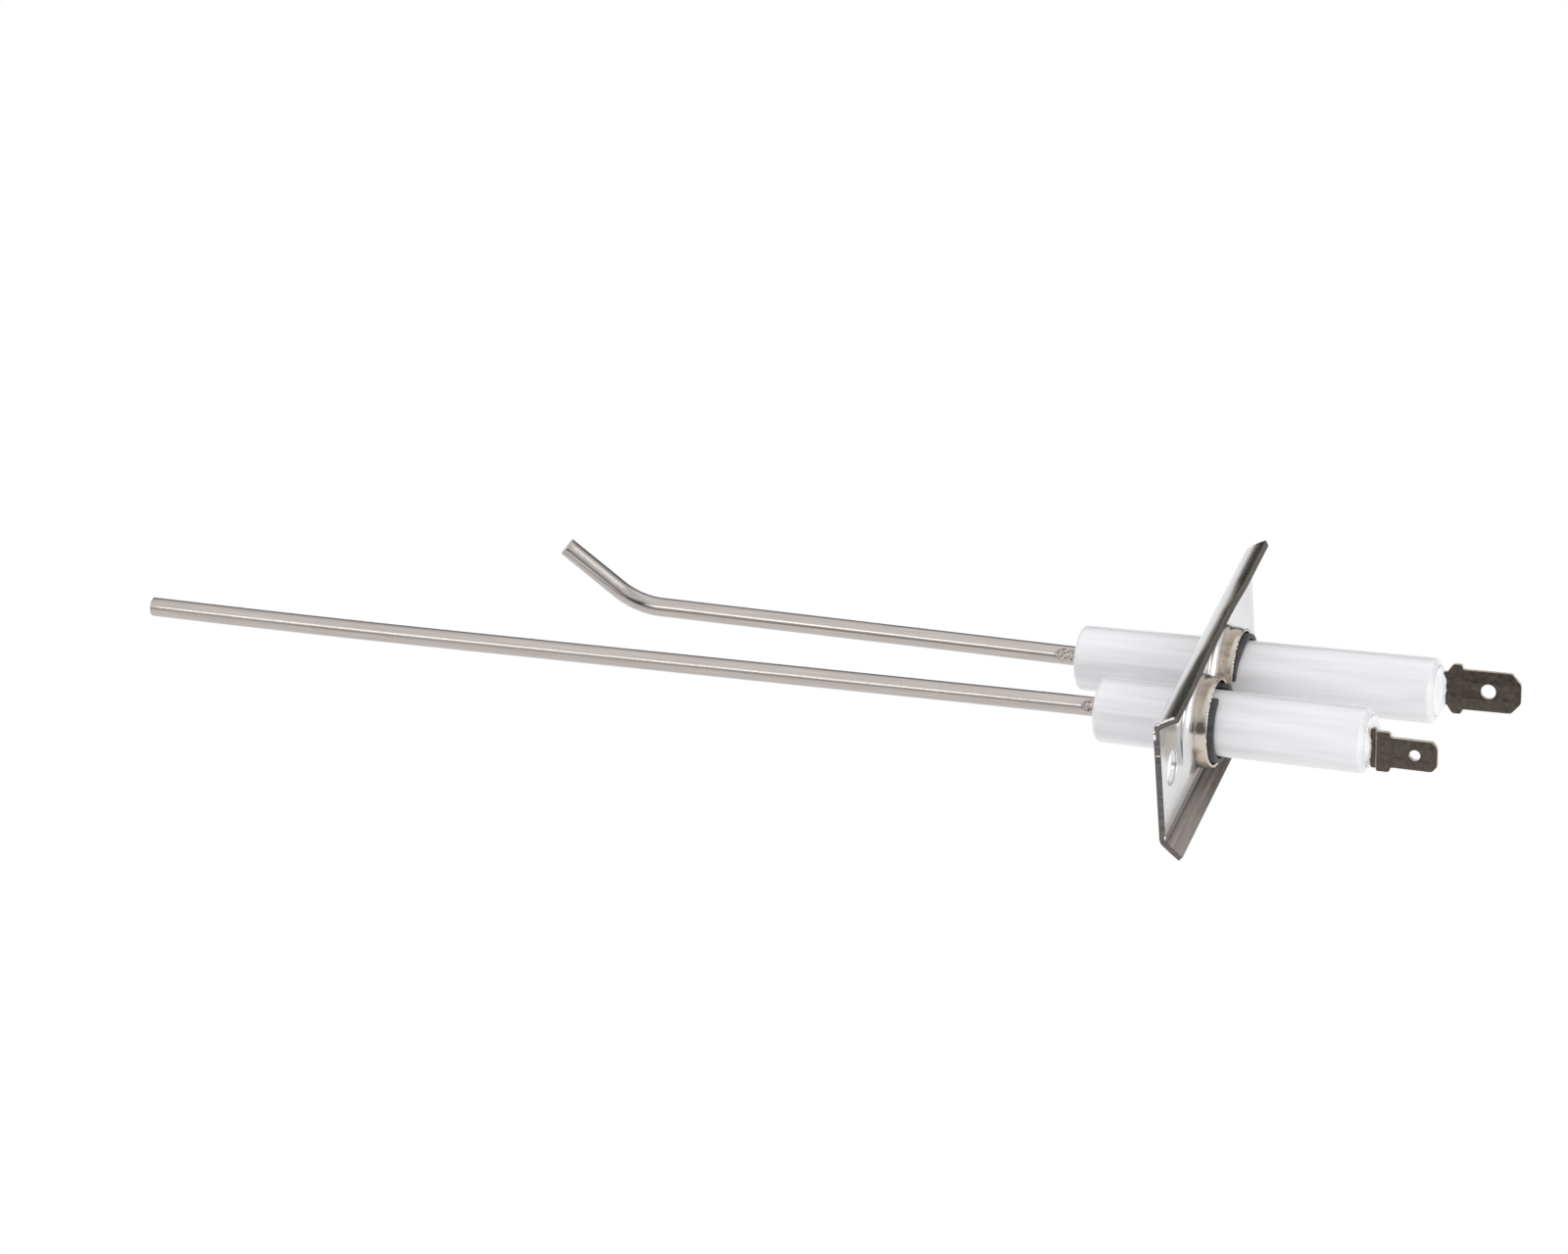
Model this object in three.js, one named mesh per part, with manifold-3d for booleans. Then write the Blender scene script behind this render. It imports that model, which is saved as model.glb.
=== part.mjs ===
// Twin burner electrode: a spark electrode and a flame-sensing electrode held side by side
// in the two drawn collars of one stamped bracket.
// Millimetres. Origin: centre of the bracket's burner-side face, on the web between the collars.
// Rods point to -X, terminals to +X, the spark electrode is on the +Y side, +Z is up.
import * as THREE from 'three';
import * as BufferGeometryUtils from 'three/addons/utils/BufferGeometryUtils.js';
import Module from 'manifold-3d';

// ---------- driving dimensions ----------
const CLEARANCE = 0.3;            // gap left between pieces that touch
const COLLAR_SPACING = 14.5;      // between the two electrode axes

const BRACKET = {
  length: 52.4,                   // along Y
  height: 20.2,                   // between the two bend corners, along Z
  thickness: 1.0,
  bendRadius: 1.3,                // of the sheet's middle surface
  flange: 3.8,                    // bend corner to free edge, middle surface
  topFlangeAngle: 36,             // degrees from +X
  bottomFlangeAngle: 44,
  screwHoleRadius: 2.75,
  screwHoleY: -20.8,              // the only screw hole, beside the sensor's collar
  collarBore: 6.4,                // radius
  collarOuter: 7.1,               // radius
  collarFillet: 1.5,
  collarLip: 4.6,                 // X of the sheared lip
};

const ROD_RADIUS = 1.5;

const INSULATOR = {
  radius: 5.05,
  bore: 2.05,                     // radius
  frontRound: 0.8,
  rearChamfer: 0.9,
  pocketRadius: 3.9,              // cement pocket in the rear face
  pocketDepth: 6,
};

const CEMENT_BULGE = 1.0;         // how far the cement stands out of the rear face

const SLEEVE = {
  inner: 5.35,                    // radius
  outer: 6.1,                     // radius
  front: 0.4,                     // X of the end inside the bracket
  rear: 5.3,                      // X of the end that shows past the lip
};

const TAB_THICKNESS = 0.8;
const ROOT_WIDTH = 3.2;           // welded strip of the terminal, inside the cement
const ROOT_OFFSET = ROD_RADIUS + CLEARANCE + TAB_THICKNESS / 2;

// What differs between the two electrodes. `yaw` and `pitch` (degrees) are how the insulator
// sits in its collar. `exit` is the rod's offset where it leaves the insulator, and `lean` its
// drift per millimetre beyond there, both [Y, Z] in the insulator's own frame. `roll` turns the
// terminal's plane from upright, and `side` is the side of the rod that it is welded to.
const SENSOR = {
  name: 'sensor',
  y: -COLLAR_SPACING / 2,
  yaw: -0.3,
  pitch: 0.32,
  front: -14.15,
  rear: 28.05,
  rod: { tip: -172.1, exit: [0.14, 0.22], lean: [-0.0085, -0.0105], stake: -16.1 },
  bow: { from: -122, rise: 0.45 },
  sleeveGap: [-40, 20],           // degrees from +Z towards -Y
  roll: -10,
  side: -1,
  tab: {
    offset: 3.3,                  // of the blade's plane from the axis, past a joggle
    width: 4.8, end: 38.4, chamfer: 0.9, holeX: 34.95, holeRadius: 0.85,
    shoulderWidth: 6.4, shoulder: [29.5, 31.1], neckWidth: 6.4, neck: 28.4,
  },
};

const SPARK = {
  name: 'spark',
  y: COLLAR_SPACING / 2,
  yaw: 0.43,
  pitch: -0.58,
  front: -21.3,
  rear: 35.0,
  rod: { tip: -94.3, exit: [0.07, 0.09], lean: [0.0132, 0.0188], stake: -24.0 },
  bend: { angle: 41, leg: 14.8, radius: 11 },
  sleeveGap: [72, 132],
  roll: -15,
  side: 1,
  tab: {
    offset: ROOT_OFFSET,
    width: 6.3, end: 47.65, chamfer: 1.6, holeX: 42.8, holeRadius: 1.15,
    shoulderWidth: 7.8, shoulder: [37.5, 38.8], neckWidth: 5.2, neck: 35.35,
  },
};

const NICKEL = { color: 0x9d978c, roughness: 0.25, metalness: 1.0 };
const STEEL = { color: 0xa39c92, roughness: 0.4, metalness: 1.0 };
const TIN = { color: 0x6d665c, roughness: 0.45, metalness: 1.0 };
const SPRING = { color: 0x4c4a48, roughness: 0.6, metalness: 0.8 };
const ALUMINA = { color: 0xf0eef0, roughness: 0.2, metalness: 0.0 };
const CEMENT = { color: 0xe9e7e4, roughness: 0.9, metalness: 0.0 };

const DEGREE = Math.PI / 180;
const ROUND = 48;                 // segments of turned pieces
const ROD_SIDES = 9;                // facets in each half of a rod

const wasm = await Module();
wasm.setup();

// ---------- solids ----------

function toSolid(geometry) {
  const bare = geometry.clone();
  bare.deleteAttribute('normal');
  bare.deleteAttribute('uv');
  const merged = BufferGeometryUtils.mergeVertices(bare, 1e-4);
  return new wasm.Manifold(new wasm.Mesh({
    numProp: 3,
    vertProperties: merged.attributes.position.array,
    triVerts: merged.index.array,
  }));
}

function toGeometry(solid) {
  const mesh = solid.getMesh();
  const geometry = new THREE.BufferGeometry();
  geometry.setAttribute('position', new THREE.BufferAttribute(mesh.vertProperties, 3));
  geometry.setIndex(new THREE.BufferAttribute(mesh.triVerts, 1));
  return geometry;
}

// Joins the first list of geometries and cuts the second list out of it.
function carve(joined, removed) {
  const body = joined.map(toSolid).reduce((a, b) => a.add(b));
  return toGeometry(removed.map(toSolid).reduce((a, b) => a.subtract(b), body));
}

// A piece turned about the X axis, from [x, radius] points that run towards +X outside.
function turned(points) {
  const profile = points.map(([x, radius]) => new THREE.Vector2(radius, x));
  return new THREE.LatheGeometry(profile, ROUND).rotateZ(-Math.PI / 2);
}

function disc(radius, from, to) {
  return turned([[from, 0], [from, radius], [to, radius], [to, 0]]);
}

function box(from, to) {
  const size = to.map((value, i) => value - from[i]);
  const middle = to.map((value, i) => (value + from[i]) / 2);
  return new THREE.BoxGeometry(...size).translate(...middle);
}

// Points of a circular arc as [x, y] pairs, angles in degrees.
function arc(cx, cy, radius, from, to, steps = 6) {
  return Array.from({ length: steps + 1 }, (_, i) => {
    const angle = (from + ((to - from) * i) / steps) * DEGREE;
    return [cx + radius * Math.cos(angle), cy + radius * Math.sin(angle)];
  });
}

// An outline in X and Z given a thickness along Y, centred on y.
function slab(outline, thickness, y = 0) {
  const shape = new THREE.Shape(outline.map(([x, z]) => new THREE.Vector2(x, z)));
  const solid = new THREE.ExtrudeGeometry(shape, { depth: thickness, bevelEnabled: false });
  return solid.rotateX(Math.PI / 2).translate(0, y + thickness / 2, 0);
}

// ---------- bracket ----------

// Outline of the bent sheet in X and Z. A walk along its middle line, from the lower free edge
// to the upper one, lays down a point on each side of the sheet at every step.
function sheetOutline() {
  const { thickness, bendRadius, flange, height } = BRACKET;
  const headings = [180 - BRACKET.bottomFlangeAngle, 90, BRACKET.topFlangeAngle];
  const setback = (i) => bendRadius * Math.tan(((headings[i] - headings[i + 1]) * DEGREE) / 2);
  const straights = [flange - setback(0), height - setback(0) - setback(1), flange - setback(1)];
  const bendSteps = 6;
  const leftSide = [];
  const rightSide = [];
  let heading = headings[0];
  let x = thickness / 2 - flange * Math.cos(heading * DEGREE);
  let z = -height / 2 - flange * Math.sin(heading * DEGREE);
  const mark = () => {
    const nx = (-Math.sin(heading * DEGREE) * thickness) / 2;
    const nz = (Math.cos(heading * DEGREE) * thickness) / 2;
    leftSide.push([x + nx, z + nz]);
    rightSide.push([x - nx, z - nz]);
  };
  const walk = (length) => {
    x += length * Math.cos(heading * DEGREE);
    z += length * Math.sin(heading * DEGREE);
    mark();
  };
  mark();
  straights.forEach((length, i) => {
    walk(length);
    if (i === straights.length - 1) return;
    const turn = (headings[i] - headings[i + 1]) / bendSteps;
    const chord = 2 * bendRadius * Math.sin((turn * DEGREE) / 2);
    for (let step = 0; step < bendSteps; step += 1) {
      heading -= turn / 2;
      x += chord * Math.cos(heading * DEGREE);
      z += chord * Math.sin(heading * DEGREE);
      heading -= turn / 2;
      mark();
    }
  });
  return [...leftSide, ...rightSide.reverse()];
}

function bracket() {
  const { thickness, collarOuter, collarFillet, collarLip, collarBore } = BRACKET;
  const sheet = slab(sheetOutline(), BRACKET.length);
  const foot = collarOuter + collarFillet;
  const collar = [
    [thickness / 2, 0],
    [thickness / 2, foot],
    ...arc(thickness + collarFillet, foot, collarFillet, 180, 270),
    [collarLip, collarOuter],
    [collarLip, 0],
  ];
  const collars = [SENSOR.y, SPARK.y].map((y) => turned(collar).translate(0, y, 0));
  const bores = [SENSOR.y, SPARK.y].map((y) => disc(collarBore, -1, collarLip + 1).translate(0, y, 0));
  const screwHole = disc(BRACKET.screwHoleRadius, -1, thickness + 1)
    .translate(0, BRACKET.screwHoleY, 0);
  return carve([sheet, ...collars], [...bores, screwHole]);
}

// ---------- pieces of one electrode, about its own X axis ----------

function insulator({ front, rear }) {
  const { radius, bore, frontRound, rearChamfer, pocketRadius, pocketDepth } = INSULATOR;
  return turned([
    [front, bore],
    ...arc(front + frontRound, radius - frontRound, frontRound, 180, 90),
    [rear - rearChamfer, radius],
    [rear, radius - rearChamfer],
    [rear, pocketRadius],
    [rear - pocketDepth, pocketRadius],
    [rear - pocketDepth, bore],
    [front, bore],
  ]);
}

// Where the rod's centre line lies at x, ahead of the insulator.
function rodPoint(spec, x) {
  const [exitY, exitZ] = spec.rod.exit;
  const [leanY, leanZ] = spec.rod.lean;
  const beyond = spec.front - x;
  const rise = spec.bow && x < spec.bow.from
    ? spec.bow.rise * ((spec.bow.from - x) / (spec.bow.from - spec.rod.tip)) ** 2
    : 0;
  return new THREE.Vector3(x, exitY + leanY * beyond, exitZ + leanZ * beyond + rise);
}

function rodPath(spec) {
  const path = new THREE.CurvePath();
  const inPocket = new THREE.Vector3(spec.rear - 1, 0, 0);
  const exit = rodPoint(spec, spec.front);
  path.add(new THREE.LineCurve3(inPocket, exit));
  if (spec.bend) {
    const { angle, leg, radius } = spec.bend;
    const setback = radius * Math.tan((angle * DEGREE) / 2);
    const corner = rodPoint(spec, spec.rod.tip);
    const bendStart = rodPoint(spec, spec.rod.tip + setback);
    const outward = new THREE.Vector3(-Math.cos(angle * DEGREE), 0, Math.sin(angle * DEGREE));
    const bendEnd = corner.clone().addScaledVector(outward, setback);
    const tip = corner.clone().addScaledVector(outward, leg);
    path.add(new THREE.LineCurve3(exit, bendStart));
    path.add(new THREE.QuadraticBezierCurve3(bendStart, corner, bendEnd));
    path.add(new THREE.LineCurve3(bendEnd, tip));
  } else {
    const bowStart = rodPoint(spec, spec.bow.from);
    path.add(new THREE.LineCurve3(exit, bowStart));
    const bowed = [0, 1 / 3, 2 / 3, 1].map((t) => (
      rodPoint(spec, spec.bow.from + t * (spec.rod.tip - spec.bow.from))));
    path.add(new THREE.CatmullRomCurve3(bowed));
  }
  return path;
}

// A round rod with an opposed pair of stake marks just ahead of the insulator.
function rod(spec) {
  const path = rodPath(spec);
  const stepLength = spec.bend ? 1.6 : 4;
  const section = new THREE.Shape().absarc(0, 0, ROD_RADIUS, 0, 2 * Math.PI);
  const round = new THREE.ExtrudeGeometry(section, {
    steps: Math.round(path.getLength() / stepLength),
    curveSegments: ROD_SIDES,
    extrudePath: path,
  });
  const punchRadius = 5;
  const stakeDepth = 0.4;
  const middle = rodPoint(spec, spec.rod.stake);
  const reach = ROD_RADIUS - stakeDepth + punchRadius;
  const marks = [-1, 1].map((side) => (
    new THREE.CylinderGeometry(punchRadius, punchRadius, 4 * ROD_RADIUS, ROUND)
      .rotateX(Math.PI / 2)
      .translate(middle.x, middle.y + side * reach, middle.z)
  ));
  return carve([round], marks);
}

// Half of the terminal's outline, from the neck to the blade's end, as [x, half width].
function tabOutline(tab) {
  const half = tab.width / 2;
  const shoulder = tab.shoulderWidth / 2;
  const upper = [
    [tab.neck, tab.neckWidth / 2],
    [tab.shoulder[0] - 0.6, tab.neckWidth / 2],
    [tab.shoulder[0], shoulder],
    [tab.shoulder[1], shoulder],
    [tab.shoulder[1] + 0.2, half],
    [tab.end - tab.chamfer, half],
    [tab.end, half - tab.chamfer],
  ];
  const lower = upper.map(([x, z]) => [x, -z]).reverse();
  return [...upper, ...lower];
}

// Push-on terminal: blade and shoulders, with a narrow root that runs beside the rod.
function terminal(spec) {
  const { tab, side, rear } = spec;
  const half = TAB_THICKNESS / 2;
  const root = box(
    [rear - INSULATOR.pocketDepth + 1, side * ROOT_OFFSET - half, -ROOT_WIDTH / 2],
    [tab.neck + 0.4, side * ROOT_OFFSET + half, ROOT_WIDTH / 2],
  );
  const blade = { ...tab, neck: tab.offset > ROOT_OFFSET ? tab.shoulder[0] - 0.7 : tab.neck };
  const pieces = [root, slab(tabOutline(blade), TAB_THICKNESS, side * tab.offset)];
  if (tab.offset > ROOT_OFFSET) {
    pieces.push(joggle(tab, side));
  }
  const hole = new THREE.CylinderGeometry(tab.holeRadius, tab.holeRadius, 4 * tab.offset, 24)
    .translate(tab.holeX, 0, 0);
  return carve(pieces, [hole]);
}

// The slanted stretch that steps the blade away from the root.
function joggle(tab, side) {
  const half = TAB_THICKNESS / 2;
  const start = tab.neck;
  const end = tab.shoulder[0];
  const shape = new THREE.Shape([
    [start, side * (ROOT_OFFSET - half)],
    [start + TAB_THICKNESS, side * (ROOT_OFFSET - half)],
    [end, side * (tab.offset - half)],
    [end, side * (tab.offset + half)],
    [end - TAB_THICKNESS, side * (tab.offset + half)],
    [start, side * (ROOT_OFFSET + half)],
  ].map(([x, y]) => new THREE.Vector2(x, y)));
  return new THREE.ExtrudeGeometry(shape, { depth: tab.neckWidth, bevelEnabled: false })
    .translate(0, 0, -tab.neckWidth / 2);
}

// Cement plug: fills the rear pocket round the rod's end and the terminal's root.
function cement(spec) {
  const { rear, side, tab } = spec;
  const radius = INSULATOR.pocketRadius - CLEARANCE;
  const plug = turned([
    [rear - INSULATOR.pocketDepth + CLEARANCE, 0],
    [rear - INSULATOR.pocketDepth + CLEARANCE, radius],
    [rear + 0.2, radius],
    ...arc(rear + 0.2, radius - 0.8, 0.8, 90, 0),
    [rear + CEMENT_BULGE, 0],
  ]);
  const nearFace = side * (ROOT_OFFSET - TAB_THICKNESS / 2 - CLEARANCE);
  const slot = (offset, halfWidth, from) => {
    const farFace = side * (offset + TAB_THICKNESS / 2 + CLEARANCE);
    return box(
      [from, Math.min(nearFace, farFace), -halfWidth - CLEARANCE],
      [rear + 3, Math.max(nearFace, farFace), halfWidth + CLEARANCE],
    );
  };
  const rodHole = disc(ROD_RADIUS + CLEARANCE, rear - 8, rear - 1 + CLEARANCE);
  const rootSlot = slot(ROOT_OFFSET, ROOT_WIDTH / 2, rear - INSULATOR.pocketDepth);
  const neckSlot = slot(tab.offset, tab.neckWidth / 2, tab.neck - CLEARANCE);
  return carve([plug], [rodHole, rootSlot, neckSlot]);
}

// Split spring sleeve that grips the insulator in the collar. Its gap faces `sleeveGap`.
function sleeve({ sleeveGap }) {
  const [gapFrom, gapTo] = sleeveGap;
  const from = gapTo + 90;
  const to = gapFrom + 450;
  const outline = [
    ...arc(0, 0, SLEEVE.outer, from, to, 40),
    ...arc(0, 0, SLEEVE.inner, to, from, 40),
  ];
  const shape = new THREE.Shape(outline.map(([y, z]) => new THREE.Vector2(y, z)));
  return new THREE.ExtrudeGeometry(shape, { depth: SLEEVE.rear - SLEEVE.front, bevelEnabled: false })
    .rotateX(Math.PI / 2)
    .rotateZ(Math.PI / 2)
    .translate(SLEEVE.front, 0, 0);
}

// ---------- assembly ----------

function piece(name, geometry, look) {
  geometry.computeVertexNormals();
  const mesh = new THREE.Mesh(geometry, new THREE.MeshStandardMaterial(look));
  mesh.name = name;
  return mesh;
}

function electrode(spec) {
  const group = new THREE.Group();
  group.position.y = spec.y;
  group.rotation.set(0, spec.pitch * DEGREE, spec.yaw * DEGREE);
  const turnedGroup = new THREE.Group();
  turnedGroup.rotation.x = spec.roll * DEGREE;
  turnedGroup.add(piece(`${spec.name}_terminal`, terminal(spec), TIN));
  turnedGroup.add(piece(`${spec.name}_rear_cement`, cement(spec), CEMENT));
  group.add(piece(`${spec.name}_insulator`, insulator(spec), ALUMINA));
  group.add(piece(`${spec.name}_rod`, rod(spec), STEEL));
  group.add(piece(`${spec.name}_split_sleeve`, sleeve(spec), SPRING));
  group.add(turnedGroup);
  return group;
}

const electrodeUnit = new THREE.Group();
electrodeUnit.add(piece('mounting_bracket', bracket(), NICKEL));
electrodeUnit.add(electrode(SENSOR));
electrodeUnit.add(electrode(SPARK));

export default electrodeUnit;
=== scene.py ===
import math
import random

import bmesh
import bpy
from mathutils import Matrix, Vector, noise


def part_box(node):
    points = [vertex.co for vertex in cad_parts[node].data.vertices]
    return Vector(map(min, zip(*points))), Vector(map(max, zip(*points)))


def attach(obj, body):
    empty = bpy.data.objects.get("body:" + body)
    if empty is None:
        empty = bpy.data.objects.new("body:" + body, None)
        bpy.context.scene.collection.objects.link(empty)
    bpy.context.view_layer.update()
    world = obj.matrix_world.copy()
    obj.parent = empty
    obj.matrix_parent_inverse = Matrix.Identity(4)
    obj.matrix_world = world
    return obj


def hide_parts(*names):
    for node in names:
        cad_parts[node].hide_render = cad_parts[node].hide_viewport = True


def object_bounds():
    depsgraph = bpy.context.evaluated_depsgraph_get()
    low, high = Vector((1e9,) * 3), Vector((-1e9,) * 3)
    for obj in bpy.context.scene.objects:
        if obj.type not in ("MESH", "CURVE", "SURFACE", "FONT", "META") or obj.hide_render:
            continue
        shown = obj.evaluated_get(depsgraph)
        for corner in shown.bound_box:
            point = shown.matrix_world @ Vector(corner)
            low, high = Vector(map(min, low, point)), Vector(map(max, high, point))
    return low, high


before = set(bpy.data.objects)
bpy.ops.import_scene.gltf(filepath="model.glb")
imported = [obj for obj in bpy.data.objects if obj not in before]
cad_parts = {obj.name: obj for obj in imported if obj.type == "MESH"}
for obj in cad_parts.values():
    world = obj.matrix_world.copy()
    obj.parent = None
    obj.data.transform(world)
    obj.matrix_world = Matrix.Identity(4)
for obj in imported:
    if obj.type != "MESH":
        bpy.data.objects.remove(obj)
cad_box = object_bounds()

# Twin burner electrode, in millimetres until a mesh is made. +X points to the terminals,
# the spark electrode is on the +Y side and +Z is up, as in the frame.
MM = 0.001
WELD = 0.002                      # points closer than this are one
TINY = 0.001                      # edges shorter than this are removed


def box_mm(node):
    low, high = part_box(node)
    return low / MM, high / MM


BRACKET_LOW, BRACKET_HIGH = box_mm("mounting_bracket")
HALF_LENGTH = (BRACKET_HIGH.y - BRACKET_LOW.y) / 2
LIP = BRACKET_HIGH.x              # X of the collars' sheared lips

COLLAR_SPACING = 14.5
SHEET = 1.0
BEND_RADIUS = 1.3                 # of the sheet's middle surface
PLATE_HALF_HEIGHT = 10.1          # to the bend corners
END_INSET = 0.12                  # from the near end's burrs back to its sheared face
FLANGE = 3.76                     # bend corner to free edge
TOP_TURN = 54.0                   # degrees that each flange is bent out of the plate
BOTTOM_TURN = 46.0
TOP_CURL = 20.0                   # part of each turn that is spread over the flange itself
BOTTOM_CURL = 6.0
NEAR_END_TURN = 6.5               # the top flange is bent this much more near its ends
FAR_END_TURN = 4.5
SCREW_HOLE_RADIUS = 2.75
SCREW_HOLE_Y = -20.8              # the only screw hole
COLLAR_BORE = 6.4
COLLAR_OUTER = 7.1
LIP_OUTER = 6.85                  # the collars' walls draw in towards their lips
COLLAR_FILLET = 1.5
BORE_ENTRY = 0.45                 # rounding of the bore at the burner-side face
LIP_DROP = 0.12                   # from the lips' highest nicks to their mean level
SEAM_Y = 15.4                     # where a collar's part of the plate meets its outer part
EDGE_EASE = 0.14                  # bevel of the sheet's sheared edges
SHEARED_END, SHEARED_EDGE, BURR = 1, 2, 3    # the bracket's material slots after the plate's

ROD_RADIUS = 1.5
STAKE_TILT = 35.0                 # degrees above level from which the staking punch comes
INSULATOR_RADIUS = 5.05
INSULATOR_BORE = 2.05
POCKET_RADIUS = 3.9
POCKET_DEPTH = 6.0
TAB_THICKNESS = 0.8
TAB_ROOT_HALF_WIDTH = 1.6
TAB_ROOT_OFFSET = 2.2             # from the axis to the root's middle, ahead of any joggle
SLEEVE_INNER = 5.35
SLEEVE_OUTER = 6.1
SLEEVE_ENDS = (0.4, 5.3)

# What differs between the electrodes, in each one's own frame, whose X is its axis:
#   sits         pitch and yaw in its collar, degrees
#   front, rear  X of the insulator's ends
#   rod_tip      X of the rod's free end, or of the bend's corner where the rod is bent
#   exit, lean   Y and Z where the rod leaves the insulator, and how much they change per mm
#   stake        X of the stake marks' middle, and half their length
#   bow          X where a slight upward bow starts, and its height at the tip
#   bend         degrees, length of the bent leg, radius of the bend
#   gap, sunk    the sleeve's opening in degrees from upright, and how far its rim drops
#   mound        height of the cement over the insulator's rear face
#   roll         degrees that the terminal is turned from upright
#   side, offset the side of the axis that the tab lies on, and how far off
SENSOR = dict(
    name="sensor", y=-COLLAR_SPACING / 2, sits=(0.32, -0.3), front=-14.15, rear=28.05,
    rod_tip=-172.06, exit=(0.14, 0.22), lean=(-0.0085, -0.0105), stake=(-15.0, 1.8),
    bow=(-122.0, 0.45), bend=None, gap=(-40, 20), sunk=0.0,
    mound=1.3, roll=-10, side=-1, offset=3.3,
    tab=dict(width=4.8, end=39.3, chamfer=0.9, hole_x=35.8, hole_radius=0.85,
             shoulder_width=6.4, shoulder=(30.2, 31.9), neck_width=6.4, neck=28.85,
             fold=(29.35, 30.1)),
)
SPARK = dict(
    name="spark", y=COLLAR_SPACING / 2, sits=(-0.58, 0.43), front=-21.3, rear=35.0,
    rod_tip=-94.3, exit=(0.07, 0.09), lean=(0.0132, 0.0188), stake=(-23.3, 1.95),
    bow=None, bend=(41, 14.8, 11.0), gap=(72, 132), sunk=0.6,
    mound=0.95, roll=-15, side=1, offset=2.2,
    tab=dict(width=6.3, end=47.35, chamfer=1.6, hole_x=42.25, hole_radius=1.15,
             shoulder_width=7.8, shoulder=(36.8, 38.1), neck_width=5.2, neck=35.35,
             fold=(35.4, 36.7)),
)

CAMERA_AZIMUTH = 21.445
CAMERA_ELEVATION = 30.957
CAMERA_ROLL = -5.285
CAMERA_AIM = (-0.061267, -0.015155, 0.013835)
CAMERA_DISTANCE = 0.92688
CAMERA_LENS = 139.65              # millimetres on a 36 mm sensor


# ---------- meshes ----------

def build(name, verts, faces, material, slot, replaced, place=Matrix(), sharp=35):
    """A smooth-shaded closed mesh object that stands for one CAD node."""
    mesh = bpy.data.meshes.new(name)
    mesh.from_pydata([Vector(v) * MM for v in verts], [], faces)
    work = bmesh.new()
    work.from_mesh(mesh)
    bmesh.ops.remove_doubles(work, verts=work.verts, dist=WELD * MM)
    bmesh.ops.dissolve_degenerate(work, edges=work.edges, dist=TINY * MM)
    bmesh.ops.recalc_face_normals(work, faces=work.faces)
    work.to_mesh(mesh)
    work.free()
    return finish_object(name, mesh, material, slot, replaced, place, sharp)


def finish_object(name, mesh, material, slot, replaced, place, sharp):
    """Shades a mesh, puts it in the scene, ties it to its body and hides the CAD node that it
    replaces. The slot argument is not used.
    """
    for polygon in mesh.polygons:
        polygon.use_smooth = True
    mesh.set_sharp_from_angle(angle=math.radians(sharp))
    mesh.materials.clear()
    mesh.materials.append(material)
    made = bpy.data.objects.new(name, mesh)
    bpy.context.scene.collection.objects.link(made)
    made.matrix_world = place
    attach(made, "root")
    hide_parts(replaced)
    return made


def loft(rings, wrap=False, caps=False):
    """Faces between rings of equal length; caps close the first and last ring."""
    count = len(rings[0])
    verts = [point for ring in rings for point in ring]
    faces = []
    for r in range(len(rings) if wrap else len(rings) - 1):
        a, b = r * count, ((r + 1) % len(rings)) * count
        for i in range(count):
            j = (i + 1) % count
            faces.append((a + i, a + j, b + j, b + i))
    if caps:
        faces.append(tuple(reversed(range(count))))
        faces.append(tuple(range(len(verts) - count, len(verts))))
    return verts, faces


def joined(parts):
    verts, faces = [], []
    for part_verts, part_faces in parts:
        base = len(verts)
        verts.extend(part_verts)
        faces.extend(tuple(base + i for i in face) for face in part_faces)
    return verts, faces


def arc(cx, cy, radius, start, end, steps):
    """Points of a circular arc, angles in degrees."""
    angles = [math.radians(start + (end - start) * i / steps) for i in range(steps + 1)]
    return [(cx + radius * math.cos(a), cy + radius * math.sin(a)) for a in angles]


def turned_rings(profile, segments=144):
    angles = [2 * math.pi * i / segments for i in range(segments)]
    return [[(x, r * math.cos(a), r * math.sin(a)) for a in angles] for x, r in profile]


def smoothstep(edge0, edge1, value):
    t = min(max((value - edge0) / (edge1 - edge0), 0.0), 1.0)
    return t * t * (3 - 2 * t)


# ---------- bracket ----------

def fillet_height(distance):
    """How far the rear face rises above the plate at this distance from a collar's axis."""
    inward = COLLAR_OUTER + COLLAR_FILLET - distance
    if inward <= 0:
        return 0.0
    return COLLAR_FILLET - math.sqrt(max(COLLAR_FILLET ** 2 - inward ** 2, 0.0))


def rear_rise(y, z):
    """The fillets' rise at a place on the plate, from both collars together."""
    centres = (SENSOR["y"], SPARK["y"])
    return sum(fillet_height(max(math.hypot(y - c, z), COLLAR_OUTER)) for c in centres)


def flange_turn(up):
    return math.radians(TOP_TURN if up > 0 else BOTTOM_TURN)


def flange_curl(up):
    return math.radians(TOP_CURL if up > 0 else BOTTOM_CURL)


def flat_limit(up):
    """Z where the plate's flat ends and the upper or lower bend begins."""
    return up * (PLATE_HALF_HEIGHT - BEND_RADIUS * math.tan(flange_turn(up) / 2))


def end_turn(up, y):
    """How much further the top flange is bent near the bracket's two ends."""
    if up < 0:
        return 0.0
    near = NEAR_END_TURN * smoothstep(5.0, 20.0, -y)
    far = FAR_END_TURN * smoothstep(5.0, 15.0, y)
    return math.radians(near + far)


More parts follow.
